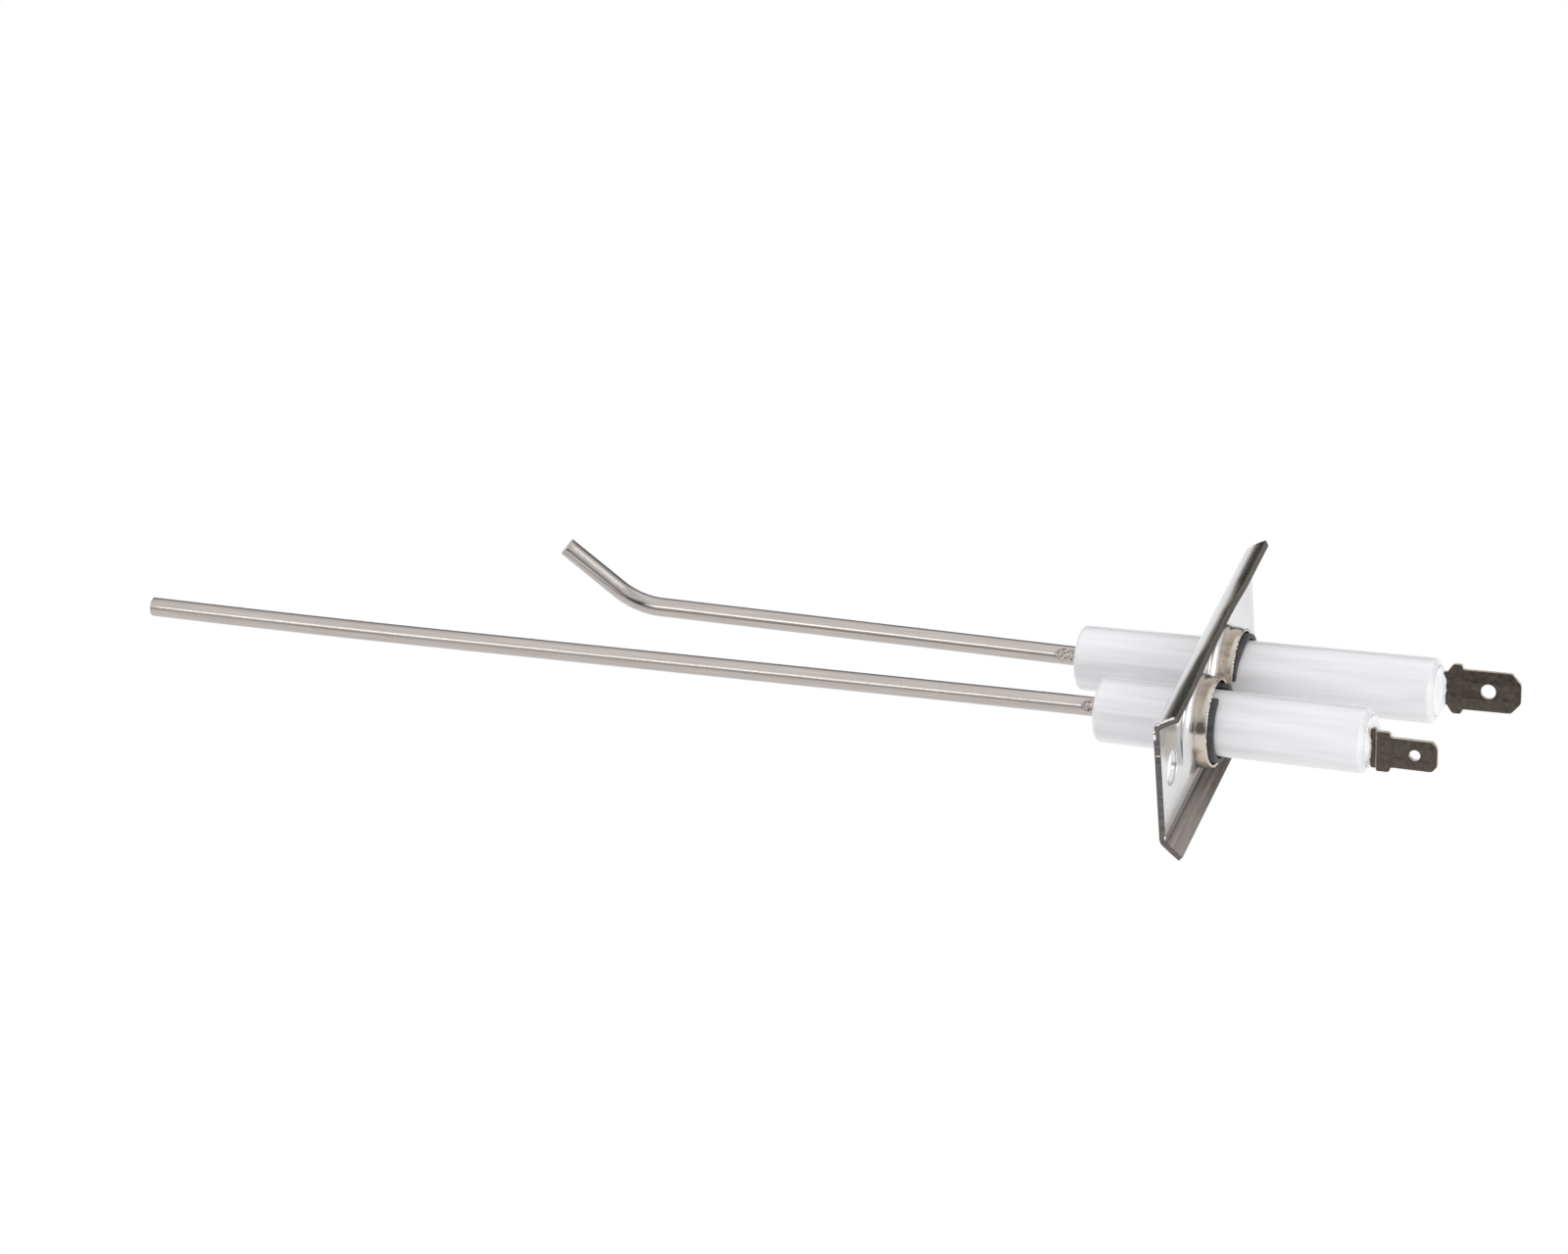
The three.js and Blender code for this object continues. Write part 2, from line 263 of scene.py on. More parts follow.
def sheet_path(up, y=0.0):
    """X, Z and heading along the sheet's middle from the end of its flat to the free edge.

    The bend stops short of the full turn and the flange curls through the rest of it.
    """
    turn = flange_turn(up)
    setback = BEND_RADIUS * math.tan(turn / 2)
    total = BEND_RADIUS * turn + FLANGE - setback
    first = turn - flange_curl(up) / 2
    bend = BEND_RADIUS * first
    stations = spread(0, bend, 12) + spread(bend, total, 10)[1:]
    x, z, heading, before = SHEET / 2, abs(flat_limit(up)), 0.0, 0.0
    path = []
    for s in stations:
        if s <= bend:
            after = s / BEND_RADIUS
        else:
            after = first + flange_curl(up) * (s - bend) / (total - bend)
        after += end_turn(up, y) * min(s / bend, 1.0)
        middle = (heading + after) / 2
        x += (s - before) * math.sin(middle)
        z += (s - before) * math.cos(middle)
        heading, before = after, s
        path.append((x, up * z, heading))
    return path


def spread(start, end, steps):
    return [start + (end - start) * i / steps for i in range(steps + 1)]


def rectangle_border(y_values, z_values):
    """Points round a rectangle, one side after another, without repeating corners."""
    bottom = [(y, z_values[0]) for y in y_values[:-1]]
    right = [(y_values[-1], z) for z in z_values[:-1]]
    top = [(y, z_values[-1]) for y in reversed(y_values[1:])]
    left = [(y_values[0], z) for z in reversed(z_values[1:])]
    return bottom + right + top + left


def collar_rings(centre, border):
    """Rings from the plate's rear face over the collar and back through the bore to its front."""
    directions = []
    for y, z in border:
        reach = math.hypot(y - centre, z)
        directions.append(((y - centre) / reach, z / reach, reach))

    def at(radius_of, x_of):
        ring = []
        for dy, dz, reach in directions:
            radius = radius_of(reach)
            y, z = centre + dy * radius, dz * radius
            ring.append((x_of(y, z), y, z))
        return ring

    rings = collar_fillet(at)
    rings += collar_wall(centre, rings[-1])
    rings += collar_lip(centre, directions)
    rings += collar_bore(at)
    return rings


def collar_fillet(at):
    """From the plate's rear face to the foot of the collar's wall."""

    def toe(reach):
        return min(COLLAR_FILLET, 0.8 * (reach - COLLAR_OUTER))

    def on_rear(y, z):
        return SHEET + rear_rise(y, z)

    rings = []
    for share in (1.0, 0.8, 0.6, 0.4, 0.25, 0.12):
        rings.append(at(lambda reach: COLLAR_OUTER + toe(reach)
                        + (reach - COLLAR_OUTER - toe(reach)) * share, on_rear))
    steps = 14
    for i in range(steps + 1):
        rise = 1 - math.sin(math.radians(90 * i / steps))
        rings.append(at(lambda reach: COLLAR_OUTER + toe(reach) * rise, on_rear))
    return rings


def collar_wall(centre, foot):
    """From the foot up to the lip, drawing in on the way."""
    rings = []
    for share in (0.12, 0.25, 0.37, 0.5, 0.6, 0.7, 0.78, 0.86, 0.93):
        shrink = 1 - (1 - LIP_OUTER / COLLAR_OUTER) * share ** 1.6
        rings.append([(x + (LIP - LIP_DROP - x) * share, centre + (y - centre) * shrink,
                       z * shrink) for x, y, z in foot])
    return rings


def collar_lip(centre, directions):
    """The sheared lip, nicked and slightly wavy. Each row is radius, rise and roughness."""
    wave, nick_height, nick_width = 0.05, 0.05, 0.07
    rough = random.Random(7)
    teeth = [rough.choice((-1, -0.6, 0.9, 1)) for _ in directions]
    nicks = [teeth[i // 2 * 2] for i in range(len(directions))]
    rows = ((LIP_OUTER - 0.03, -0.10, 0.5), (LIP_OUTER - 0.09, -0.02, 1.0),
            (LIP_OUTER - 0.18, 0.0, 1.0), (COLLAR_BORE + 0.15, -0.02, 0.6),
            (COLLAR_BORE + 0.04, -0.12, 0.3), (COLLAR_BORE, -0.3, 0.0))
    rings = []
    for radius, rise, roughness in rows:
        ring = []
        for (dy, dz, _), nick in zip(directions, nicks):
            wander = noise.noise(Vector((dy * 2.1, dz * 2.1, centre))) * wave
            r = radius + roughness * nick * nick_width
            x = LIP - LIP_DROP + rise + roughness * (nick * nick_height + wander)
            ring.append((min(x, LIP), centre + dy * r, dz * r))
        rings.append(ring)
    return rings


def collar_bore(at):
    """Down the bore, round its entry and out over the plate's front face."""
    rings = []
    straight = LIP - 0.8
    for share in (0.75, 0.5, 0.25):
        rings.append(at(lambda reach: COLLAR_BORE, lambda y, z: BORE_ENTRY + share * straight))
    steps = 6
    for i in range(steps + 1):
        angle = math.radians(90 * i / steps)
        radius = COLLAR_BORE + BORE_ENTRY * (1 - math.cos(angle))
        x = BORE_ENTRY * (1 - math.sin(angle))
        rings.append(at(lambda reach: radius, lambda y, z: x))
    first = COLLAR_BORE + BORE_ENTRY
    for share in (0.25, 0.5, 1.0):
        rings.append(at(lambda reach: first + (reach - first) * share, lambda y, z: 0.0))
    return rings


def screw_hole_rings(centre, border):
    """Rings from the plate's rear face through the hole, with eased rims, to its front."""
    rings = []
    rim = 0.12

    def ring(x, radius=None, share=0.0):
        points = []
        for y, z in border:
            reach = math.hypot(y - centre, z)
            r = radius + (reach - radius) * share
            points.append((x, centre + (y - centre) / reach * r, z / reach * r))
        rings.append(points)

    for share in (1.0, 0.7, 0.45, 0.25, 0.1):
        ring(SHEET, SCREW_HOLE_RADIUS + rim, share)
    for x, radius in arc(SHEET - rim, SCREW_HOLE_RADIUS + rim, rim, 0, -90, 3):
        ring(x, radius)
    for x, radius in arc(rim, SCREW_HOLE_RADIUS + rim, rim, -90, -180, 3):
        ring(x, radius)
    for share in (0.1, 0.45, 1.0):
        ring(0.0, SCREW_HOLE_RADIUS + rim, share)
    return rings


def flange_part(y_values, up):
    """One bend and flange: its two faces, its free edge and its two cut ends."""
    verts = []
    for y in y_values:
        rear, front = [], []
        for x, z, heading in sheet_path(up, y):
            nx, nz = math.cos(heading) * SHEET / 2, up * math.sin(heading) * SHEET / 2
            rear.append((x + nx, y, z - nz))
            front.append((x - nx, y, z + nz))
        verts += rear + front[::-1]
    count = len(rear) * 2
    faces = []
    for a in range(0, len(verts) - count, count):
        b = a + count
        faces.extend((a + i, a + i + 1, b + i + 1, b + i) for i in range(count - 1))
    for a in (0, len(verts) - count):
        for i in range(len(rear) - 1):
            j = count - 1 - i
            faces.append((a + i, a + i + 1, a + j - 1, a + j))
    return verts, faces


def end_strip(y, z_values):
    """The plate's flat cut end."""
    rear = [(SHEET, y, z) for z in z_values]
    front = [(0.0, y, z) for z in z_values]
    count = len(z_values)
    faces = [(i, i + 1, count + i + 1, count + i) for i in range(count - 1)]
    return rear + front, faces


def plain_stretch(border_y, z_values):
    """A flat stretch of plate without a hole: its rear and its front."""
    inner = [(y, z) for y in border_y for z in z_values]
    verts = [(SHEET, y, z) for y, z in inner] + [(0.0, y, z) for y, z in inner]
    count, rows = len(z_values), len(border_y)
    faces = []
    for base in (0, count * rows):
        for r in range(rows - 1):
            for i in range(count - 1):
                a = base + r * count + i
                faces.append((a, a + 1, a + count + 1, a + count))
    return verts, faces


def burr(points, radius, seed):
    """A thin ragged ridge of metal along a sheared edge."""
    rough = random.Random(seed)
    last = len(points) - 1
    rings = []
    for i, point in enumerate(points):
        ahead = (points[min(i + 1, last)] - points[max(i - 1, 0)]).normalized()
        side = ahead.cross(Vector((0, 1, 0))).normalized()
        up = ahead.cross(side)
        size = radius * rough.uniform(0.55, 1.0) * (0.3 if i in (0, last) else 1)
        rings.append([point + (side * math.cos(a) + up * math.sin(a)) * size
                      for a in (2 * math.pi * k / 8 for k in range(8))])
    return loft(rings, caps=True)


def end_burrs(y):
    """Burrs on the near end: along the top flange, round its bend, and two short ones."""
    outer = []
    inset = 0.8
    for x, z, heading in sheet_path(1, y):
        nx, nz = math.cos(heading) * SHEET / 2, math.sin(heading) * SHEET / 2
        outer.append(Vector((x - nx * inset, y, z + nz * inset)))
    flange_edge = [outer[i].lerp(outer[i + 1], t) for i in range(11, len(outer) - 1)
                   for t in (0.0, 0.5)]
    corner = [Vector((0.15, y, outer[0].z - 1.6 * t)) for t in spread(1, 0, 8)] + outer[:7]
    dash = [Vector((x, y, 5.2 + 0.05 * x)) for x in spread(0.12, 0.88, 4)]
    foot = [Vector((0.9, y, -z)) for z in spread(8.9, 9.7, 4)]
    lines = ((flange_edge, 0.24, 3), (corner, 0.32, 5), (dash, 0.16, 9), (foot, 0.15, 12))
    return [burr([p + Vector((0, radius, 0)) for p in line], radius, seed)
            for line, radius, seed in lines]


def mark_raw_edges(mesh):
    """Gives the burrs, the sheared end faces and the flanges' free edges their materials."""
    end_level = HALF_LENGTH - END_INSET
    for polygon in mesh.polygons:
        centre, normal = polygon.center / MM, polygon.normal
        at_end = abs(centre.y) > end_level - 0.005 and abs(normal.y) > 0.99
        outward = flange_turn(centre.z) + flange_curl(centre.z) / 2
        free = Vector((math.sin(outward), 0, math.copysign(math.cos(outward), centre.z)))
        at_edge = abs(centre.z) > PLATE_HALF_HEIGHT and normal.dot(free) > 0.95
        if centre.y < -end_level - 0.003:
            polygon.material_index = BURR
        elif at_end:
            polygon.material_index = SHEARED_END
        elif at_edge:
            polygon.material_index = SHEARED_EDGE


def make_bracket(material, cut_end, cut_edge, burred):
    """The stamped sheet: a collar's part and an outer part on each side, bends and flanges."""
    z_values = spread(flat_limit(-1), flat_limit(1), 64)
    parts = []
    all_y = []
    for side in (-1, 1):
        collar_y = sorted(side * y for y in spread(0.0, SEAM_Y, 60))
        end = HALF_LENGTH - (END_INSET if side < 0 else 0.0)
        outer_y = sorted(side * y for y in spread(SEAM_Y, end, 16))
        all_y += collar_y + outer_y
        parts.append(loft(collar_rings(side * COLLAR_SPACING / 2,
                                       rectangle_border(collar_y, z_values))))
        if side < 0:
            parts.append(loft(screw_hole_rings(SCREW_HOLE_Y, rectangle_border(outer_y, z_values))))
        else:
            parts.append(plain_stretch(outer_y, z_values))
        parts.append(end_strip(side * end, z_values))
    y_values = sorted(set(round(y, 6) for y in all_y))
    parts += [flange_part(y_values, up) for up in (-1, 1)]
    parts += end_burrs(-HALF_LENGTH)
    bracket = build("stamped_bracket", *joined(parts), material, "nickel_sheet",
                    "mounting_bracket", sharp=40)
    for extra in (cut_end, cut_edge, burred):
        bracket.data.materials.append(extra)
    mark_raw_edges(bracket.data)
    bevel = bracket.modifiers.new("sheared edges", "BEVEL")
    bevel.width = EDGE_EASE * MM
    bevel.segments = 3
    bevel.limit_method = "ANGLE"
    bevel.angle_limit = math.radians(50)
    bevel.material = 0
    return bracket


# ---------- electrodes ----------

def electrode_place(spec, rolled=False):
    pitch, yaw = (math.radians(a) for a in spec["sits"])
    place = Matrix.Translation(Vector((0, spec["y"] * MM, 0)))
    place = place @ Matrix.Rotation(pitch, 4, "Y") @ Matrix.Rotation(yaw, 4, "Z")
    if rolled:
        place = place @ Matrix.Rotation(math.radians(spec["roll"]), 4, "X")
    return place


def make_insulator(spec, material):
    """A tube with a rounded nose, a chamfered rear and a pocket for the terminal's root."""
    front, rear = spec["front"], spec["rear"]
    r, bore = INSULATOR_RADIUS, INSULATOR_BORE
    nose, chamfer, ease = 0.8, 0.65, 0.3
    shoulder_ease, edge_ease = 0.7, 0.35
    profile = [(front + 1.2, bore), (front + 0.25, bore)]
    profile += arc(front + 0.25, bore + 0.25, 0.25, 270, 180, 4)
    profile += arc(front + nose, r - nose, nose, 180, 90, 12)
    profile += [(x, r) for x in spread(front + nose, rear - chamfer - ease, 24)[1:]]
    profile += arc(rear - chamfer - ease, r - shoulder_ease, shoulder_ease, 90, 50, 5)[1:]
    profile += arc(rear - edge_ease, r - chamfer - edge_ease, edge_ease, 50, 0, 5)
    profile += [(rear, POCKET_RADIUS + 0.1), (rear - 0.1, POCKET_RADIUS),
                (rear - POCKET_DEPTH, POCKET_RADIUS), (rear - POCKET_DEPTH, bore)]
    profile += [(x, bore) for x in spread(rear - POCKET_DEPTH, front + 1.2, 8)[1:-1]]
    verts, faces = loft(turned_rings(profile), wrap=True)
    return build(f"{spec['name']}_ceramic_tube", verts, faces, material, "alumina",
                 f"{spec['name']}_insulator", electrode_place(spec))


def rod_point(spec, x):
    """The rod's centre at this X, outside the insulator."""
    beyond = spec["front"] - x
    rise = 0.0
    if spec["bow"] and x < spec["bow"][0]:
        start, height = spec["bow"]
        rise = height * ((start - x) / (start - spec["rod_tip"])) ** 2
    y = spec["exit"][0] + spec["lean"][0] * beyond
    z = spec["exit"][1] + spec["lean"][1] * beyond + rise
    return Vector((x, y, z))


def rod_route(spec):
    """Points along the rod's centre line, close together where its shape changes."""
    inner = Vector((spec["rear"] - 1, 0, 0))
    exit_point = rod_point(spec, spec["front"])
    points = [inner.lerp(exit_point, t) for t in spread(0, 1, 10)]
    marks_end = spec["stake"][0] - 3.2
    points += [rod_point(spec, x) for x in spread(spec["front"], marks_end, 56)[1:]]
    if spec["bend"]:
        angle, leg, radius = spec["bend"]
        turn = math.radians(angle)
        setback = radius * math.tan(turn / 2)
        start = spec["rod_tip"] + setback
        points += [rod_point(spec, x) for x in spread(marks_end, start, 30)[1:]]
        base = points[-1]
        for a in spread(0, turn, 24)[1:]:
            points.append(base + Vector((-radius * math.sin(a), 0, radius * (1 - math.cos(a)))))
        out = Vector((-math.cos(turn), 0, math.sin(turn)))
        base = points[-1]
        points += [base + out * d for d in spread(0, leg - setback, 10)[1:]]
    else:
        points += [rod_point(spec, x) for x in spread(marks_end, spec["rod_tip"], 80)[1:]]
    return points


def stake_press(spec, point, offset):
    """Scoops out the two rough dents that the staking punch leaves on opposite sides."""
    centre, half_length = spec["stake"]
    half_width, floor_share = 1.05, 0.62    # the dent is full depth over its floor's share
    mean_depth, unevenness = 0.42, 0.30
    tilt = math.radians(STAKE_TILT)
    punch = Vector((0, -math.cos(tilt), math.sin(tilt)))
    beside = Vector((0, math.sin(tilt), math.cos(tilt)))
    along, across = offset.dot(punch), offset.dot(beside)
    reach = math.hypot((point.x - centre) / half_length, across / half_width)
    scoop = 1 - smoothstep(floor_share, 1.0, reach)
    if scoop <= 0:
        return offset
    lump = noise.noise(Vector((point.x * 2.1, across * 2.6, spec["y"])))
    depth = (mean_depth + unevenness * lump) * scoop
    return offset - punch * math.copysign(min(depth, abs(along)), along)


def make_rod(spec, material):
    """The wire carried along its route, with an eased rim at the free end."""
    points = rod_route(spec)
    sides = 64
    rings = []
    normal = Vector((0, 0, 1))
    for i, point in enumerate(points):
        ahead = points[min(i + 1, len(points) - 1)] - points[max(i - 1, 0)]
        ahead.normalize()
        normal = (normal - ahead * normal.dot(ahead)).normalized()
        across = ahead.cross(normal)
        ring = []
        for k in range(sides):
            a = 2 * math.pi * k / sides
            offset = (normal * math.cos(a) + across * math.sin(a)) * ROD_RADIUS
            ring.append(point + stake_press(spec, point, offset))
        rings.append(ring)
    tip, ahead = points[-1], (points[-1] - points[-2]).normalized()
    ease = 0.22
    last = rings.pop()
    for x, shrink in arc(-ease, ROD_RADIUS - ease, ease, 90, 0, 5):
        rings.append([tip + ahead * x + (Vector(p) - tip) * (shrink / ROD_RADIUS) for p in last])
    verts, faces = loft(rings, caps=True)
    return build(f"{spec['name']}_wire", verts, faces, material, "rod_steel",
                 f"{spec['name']}_rod", electrode_place(spec), sharp=50)


def make_sleeve(spec, material):
    """A split sleeve: a rounded strip section carried round the axis, open at its gap."""
    x0, x1 = SLEEVE_ENDS
    ease = 0.1
    section = arc(x1 - ease, SLEEVE_OUTER - ease, ease, 90, 0, 3)
    section += arc(x1 - ease, SLEEVE_INNER + ease, ease, 0, -90, 3)
    section += arc(x0 + ease, SLEEVE_INNER + ease, ease, -90, -180, 3)
    section += arc(x0 + ease, SLEEVE_OUTER - ease, ease, 180, 90, 3)
    start, end = spec["gap"][1], spec["gap"][0] + 360
    rings = []
    for angle in spread(start, end, 150):
        a = math.radians(angle)
        rough = noise.noise(Vector((angle * 0.35, spec["y"], 0))) * 0.05
        sunk = spec["sunk"] * smoothstep(5, 80, angle - 360)
        ring = []
        for x, r in section:
            edge = rough - sunk if x > x1 - 2 * ease else 0.0
            ring.append((min(x + edge, x1), -r * math.sin(a), r * math.cos(a)))
        rings.append(ring)
    verts, faces = loft(rings, caps=True)
    return build(f"{spec['name']}_spring_sleeve", verts, faces, material, "sleeve_steel",
                 f"{spec['name']}_split_sleeve", electrode_place(spec))


def rounded(corners, radius, steps=4):
    """A closed outline with every corner eased by a small arc-like curve."""
    eased = []
    count = len(corners)
    for i, corner in enumerate(corners):
        here = Vector(corner)
        before = Vector(corners[i - 1])
        after = Vector(corners[(i + 1) % count])
        reach = min(radius, 0.4 * (before - here).length, 0.4 * (after - here).length)
        a = here + (before - here).normalized() * reach
        b = here + (after - here).normalized() * reach
        for t in spread(0, 1, steps):
            eased.append(a.lerp(here, t).lerp(here.lerp(b, t), t))
    return eased


def sheet_metal(outline, hole, thickness, ease):
    """A flat bevelled plate in X and Y from an outline and a round hole, as a mesh in mm."""
    curve = bpy.data.curves.new("plate", "CURVE")
    curve.dimensions = "2D"
    curve.fill_mode = "BOTH"
    curve.extrude = thickness / 2 - ease
    curve.bevel_depth = ease
    curve.bevel_resolution = 2
    centre_x, hole_radius = hole
    ring = [Vector(p) for p in arc(centre_x, 0, hole_radius + ease, 0, 360, 48)[:-1]]
    for loop in (outline, ring):
        spline = curve.splines.new("POLY")
        spline.points.add(len(loop) - 1)
        for target, point in zip(spline.points, loop):
            target.co = (point[0], point[1], 0, 1)
        spline.use_cyclic_u = True
    holder = bpy.data.objects.new("plate", curve)
    bpy.context.scene.collection.objects.link(holder)
    mesh = bpy.data.meshes.new_from_object(holder.evaluated_get(
        bpy.context.evaluated_depsgraph_get()))
    bpy.data.objects.remove(holder)
    bpy.data.curves.remove(curve)
    return mesh


def tab_outline(tab, ease):
    """Root, neck, shoulders and blade in X and Z, drawn in by the bevel's width."""
    half, shoulder, neck = tab["width"] / 2, tab["shoulder_width"] / 2, tab["neck_width"] / 2
    s0, s1 = tab["shoulder"]
    root = TAB_ROOT_HALF_WIDTH
    upper = [(tab["neck"] - 4.0, root), (tab["neck"] - 0.1, root)]
    if neck > root:
        upper.append((tab["neck"], neck))
    if shoulder > neck:
        upper += [(s0 - 0.9, neck), (s0, shoulder)]
    upper += [(s1 - 0.1, shoulder), (s1 + 0.15, half + 0.1), (s1 + 0.45, half),
              (tab["end"] - tab["chamfer"], half), (tab["end"], half - tab["chamfer"])]
    inset = [(min(x, tab["end"] - ease - 0.04), z - ease) for x, z in upper]
    return inset + [(x, -z) for x, z in reversed(inset)]


def make_terminal(spec, material, edge):
    """The push-on tab, joggled sideways behind its root where its blade lies further out."""
    tab = spec["tab"]
    ease = 0.1
    outline = rounded(tab_outline(tab, ease), 0.3)
    mesh = sheet_metal(outline, (tab["hole_x"], tab["hole_radius"]), TAB_THICKNESS, ease)
    work = bmesh.new()
    work.from_mesh(mesh)
    bmesh.ops.remove_doubles(work, verts=work.verts, dist=0.001)
    step_from, step_to = tab["fold"]
    if spec["offset"] != TAB_ROOT_OFFSET:
        for x in spread(step_from - 0.3, step_to + 0.3, 14):
            geometry = work.verts[:] + work.edges[:] + work.faces[:]
            bmesh.ops.bisect_plane(work, geom=geometry, dist=1e-5, plane_co=(x, 0, 0),
                                   plane_no=(1, 0, 0))
    for vert in work.verts:
        x, z, y = vert.co
        share = smoothstep(step_from, step_to, x)
        offset = TAB_ROOT_OFFSET + (spec["offset"] - TAB_ROOT_OFFSET) * share
        vert.co = Vector((x, y + spec["side"] * offset, z)) * MM
    bmesh.ops.recalc_face_normals(work, faces=work.faces)
    work.to_mesh(mesh)
    work.free()
    tab_object = finish_object(f"{spec['name']}_push_on_tab", mesh, material, "terminal_metal",
                               f"{spec['name']}_terminal", electrode_place(spec, True), 32)
    mesh.materials.append(edge)
    for polygon in mesh.polygons:
        polygon.material_index = int(abs(polygon.normal.y) < 0.6)
    return tab_object


def make_cement(spec, material):
    """An uneven plug that fills the rear pocket and mounds up round the terminal's root."""
    rear = spec["rear"]
    radius = POCKET_RADIUS - 0.05
    bottom = rear - POCKET_DEPTH + 0.3
    profile = [(bottom, 0.01), (bottom, radius * 0.6), (bottom, radius), (rear - 2, radius),
               (rear, radius)]
    profile += [(rear + spec["mound"] * math.sin(math.radians(a)),
                 radius * math.cos(math.radians(a))) for a in spread(6, 88, 16)]
    rings = turned_rings(profile, 96)
    lump_height, lump_width, settled = 0.3, 0.10, 0.1
    uneven = []
    for ring in rings:
        points = []
        for x, y, z in ring:
            over = smoothstep(rear, rear + 0.5, x)
            lump = noise.fractal(Vector((x, y, z)) * 0.55 + Vector((spec["y"], 0, 0)), 1, 2, 3)
            widen = 1 + over * lump * lump_width
            points.append((x + over * (lump * lump_height - settled), y * widen, z * widen))
        uneven.append(points)
    verts, faces = loft(uneven, caps=True)
    return build(f"{spec['name']}_cement_plug", verts, faces, material, "cement",
                 f"{spec['name']}_rear_cement", electrode_place(spec, True))


# ---------- materials ----------

def axis_shade(tree, vector, axis, limits, shades):
    """A grey that changes smoothly along one axis of a direction or position."""
    split = tree.nodes.new("ShaderNodeSeparateXYZ")
    tree.links.new(vector, split.inputs["Vector"])
    span = tree.nodes.new("ShaderNodeMapRange")
    span.interpolation_type = "SMOOTHSTEP"
    span.inputs["From Min"].default_value, span.inputs["From Max"].default_value = limits
    span.inputs["To Min"].default_value, span.inputs["To Max"].default_value = shades
    tree.links.new(split.outputs[axis], span.inputs["Value"])
    return span.outputs["Result"]


def combine(tree, operation, outputs):
    """Adds, multiplies or otherwise combines grey outputs, from the first to the last."""
    total = outputs[0]
    for output in outputs[1:]:
        node = tree.nodes.new("ShaderNodeMath")
        node.operation = operation
        tree.links.new(total, node.inputs[0])
        tree.links.new(output, node.inputs[1])
        total = node.outputs["Value"]
    return total


NOISE_LOW, NOISE_HIGH = 0.3, 0.7


class Look:
    """A Principled material with short calls for the nodes that feed it."""

    def __init__(self, name, **values):
        self.material = bpy.data.materials.new(name)
        self.material.use_nodes = True
        self.tree = self.material.node_tree
        self.shader = self.tree.nodes["Principled BSDF"]
        for socket, value in values.items():
            self.shader.inputs[socket.replace("_", " ")].default_value = value
        self.coordinates = self.tree.nodes.new("ShaderNodeTexCoord").outputs["Object"]

    def link(self, output, target):
        self.tree.links.new(output, target)

    def noise(self, scale, detail=3.0, roughness=0.55):
        """Noise in the piece's own frame; scale is cycles per metre along X, Y and Z."""
        mapping = self.tree.nodes.new("ShaderNodeMapping")
        mapping.inputs["Scale"].default_value = scale
        self.link(self.coordinates, mapping.inputs["Vector"])
        texture = self.tree.nodes.new("ShaderNodeTexNoise")
        texture.inputs["Scale"].default_value = 1.0
        texture.inputs["Detail"].default_value = detail
        texture.inputs["Roughness"].default_value = roughness
        self.link(mapping.outputs["Vector"], texture.inputs["Vector"])
        return texture.outputs["Fac"]

    def ramp(self, factor, stops):
        """A colour from (position, colour) stops."""
        node = self.tree.nodes.new("ShaderNodeValToRGB")
        elements = node.color_ramp.elements
        while len(elements) < len(stops):
            elements.new(0.5)
        for element, (position, colour) in zip(elements, stops):
            element.position = position
            element.color = (*colour, 1)
        self.link(factor, node.inputs["Fac"])
        return node.outputs["Color"]

    def tones(self, factor, low, high):
        """A colour that runs from low to high over the noise's usual range."""
        return self.ramp(factor, [(NOISE_LOW, low), (NOISE_HIGH, high)])

    def between(self, factor, low, high):
        """A number that runs from low to high over the noise's usual range."""
        node = self.tree.nodes.new("ShaderNodeMapRange")
        node.inputs["From Min"].default_value = NOISE_LOW
        node.inputs["From Max"].default_value = NOISE_HIGH
        node.inputs["To Min"].default_value = low
        node.inputs["To Max"].default_value = high
        self.link(factor, node.inputs["Value"])
        return node.outputs["Result"]

    def bump(self, height, strength, distance, after=None):
        node = self.tree.nodes.new("ShaderNodeBump")
        node.inputs["Strength"].default_value = strength
        node.inputs["Distance"].default_value = distance
        self.link(height, node.inputs["Height"])
        if after is not None:
            self.link(after, node.inputs["Normal"])
        return node.outputs["Normal"]

    def along(self, axis, limits_mm, shades):
        """A number that changes along one of the piece's own axes."""
        limits = [limit * MM for limit in limits_mm]
        return axis_shade(self.tree, self.coordinates, axis, limits, shades)

    def combine(self, operation, outputs):
        return combine(self.tree, operation, outputs)

    def mix(self, factor, first, second):
        node = self.tree.nodes.new("ShaderNodeMix")
        node.data_type = "RGBA"
        self.link(factor, node.inputs["Factor"])
        self.link(first, node.inputs["A"])
        self.link(second, node.inputs["B"])
        return node.outputs["Result"]

    def set(self, socket, output):
        self.link(output, self.shader.inputs[socket])


